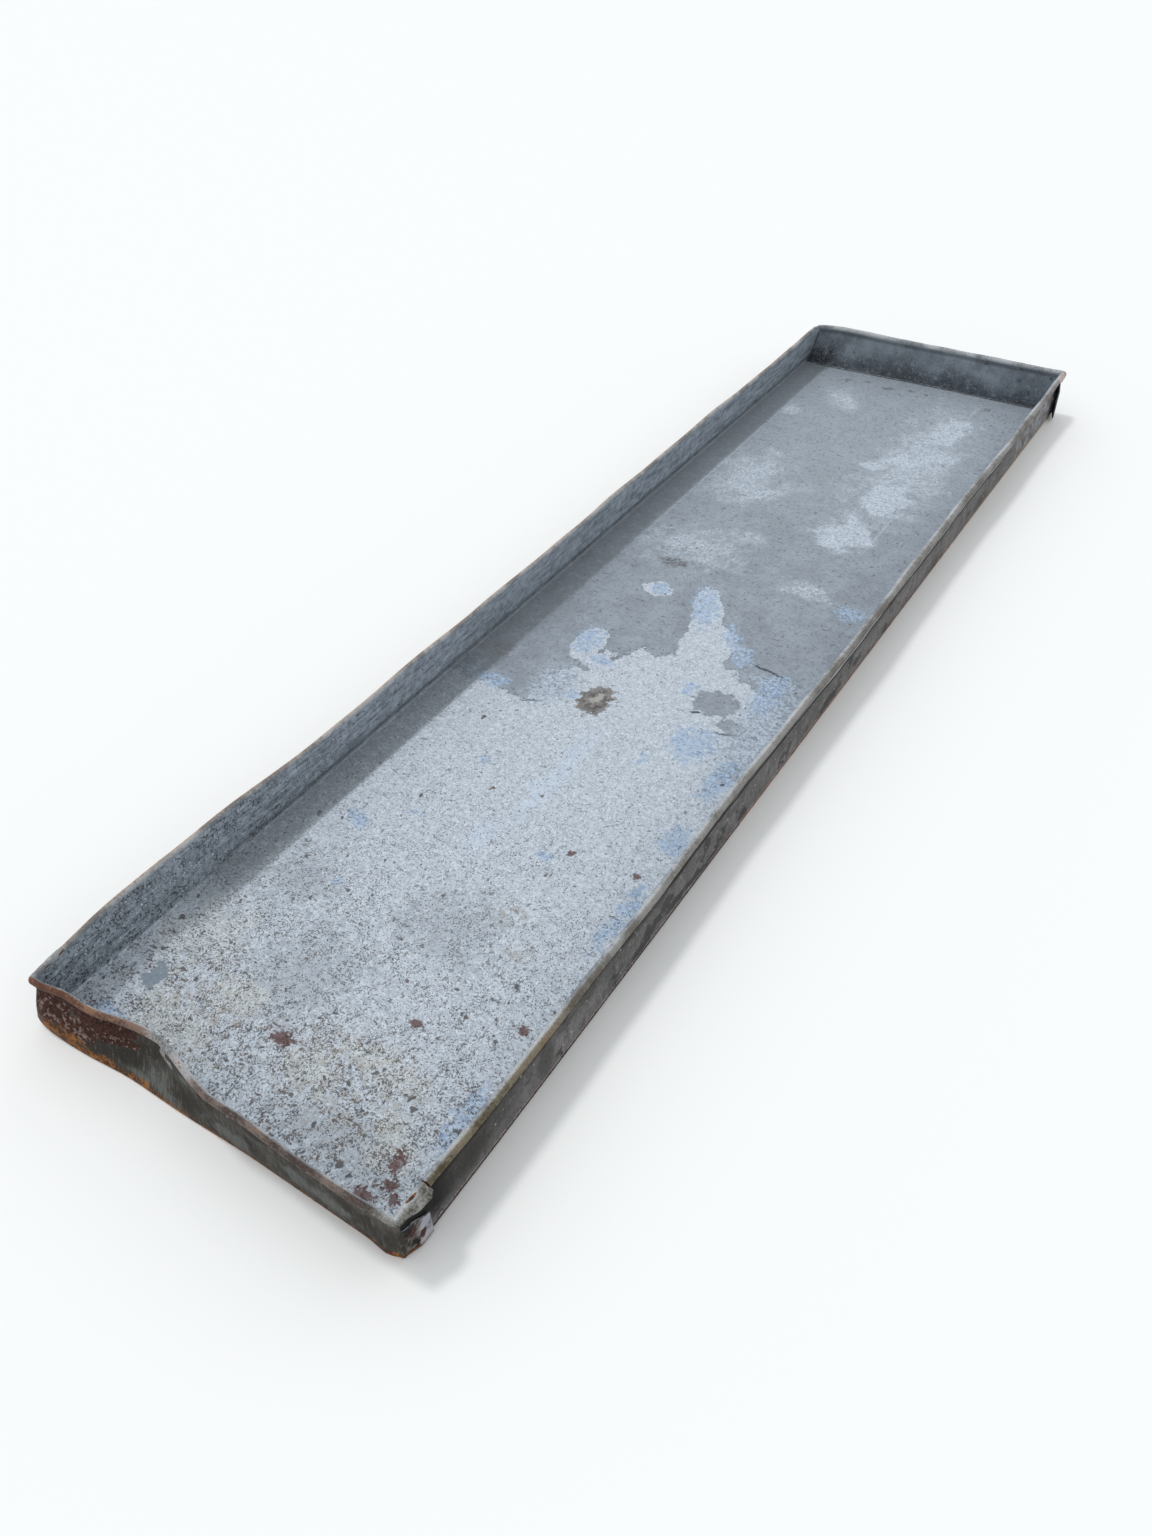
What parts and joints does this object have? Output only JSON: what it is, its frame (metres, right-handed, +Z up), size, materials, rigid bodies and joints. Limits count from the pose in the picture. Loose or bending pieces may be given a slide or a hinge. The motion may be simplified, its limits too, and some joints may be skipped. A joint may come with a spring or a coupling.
{
  "type": "oil drain pan",
  "caption": "Long shallow open sheet-metal drain pan with folded long walls, capped ends with corner tabs, and a rim rolled over wire, for catching oil under a vehicle.",
  "frame": {"origin": "centre of the plane that the tray rests on, midway between the long walls and midway between the ends", "axes": "+Z up out of the open top, +Y along the tray from the dented near end to the far end, +X across it to the right"},
  "size_m": [0.3194, 1.232, 0.051],
  "materials": {
    "galvanised_trough": "weathered galvanised zinc, matt, pitted and mottled",
    "galvanised_rusty": "weathered galvanised zinc with heavy red-brown rust",
    "galvanised_end": "weathered galvanised zinc, dark grey, rust along its edges",
    "rim_wire": "rusted steel wire",
    "rivet": "dull zinc-plated steel",
    "solder": "dull dark grey soft solder"
  },
  "bodies": {
    "root": {"trough_sheet": "galvanised_trough", "near_end_plate": "galvanised_rusty", "far_end_plate": "galvanised_end", "left_rim_wire": "rim_wire", "right_rim_wire": "rim_wire", "near_rim_wire": "rim_wire", "far_rim_wire": "rim_wire", "corner_rivets": "rivet", "near_end_solder": "solder", "far_end_solder": "solder"}
  },
  "joints": []
}
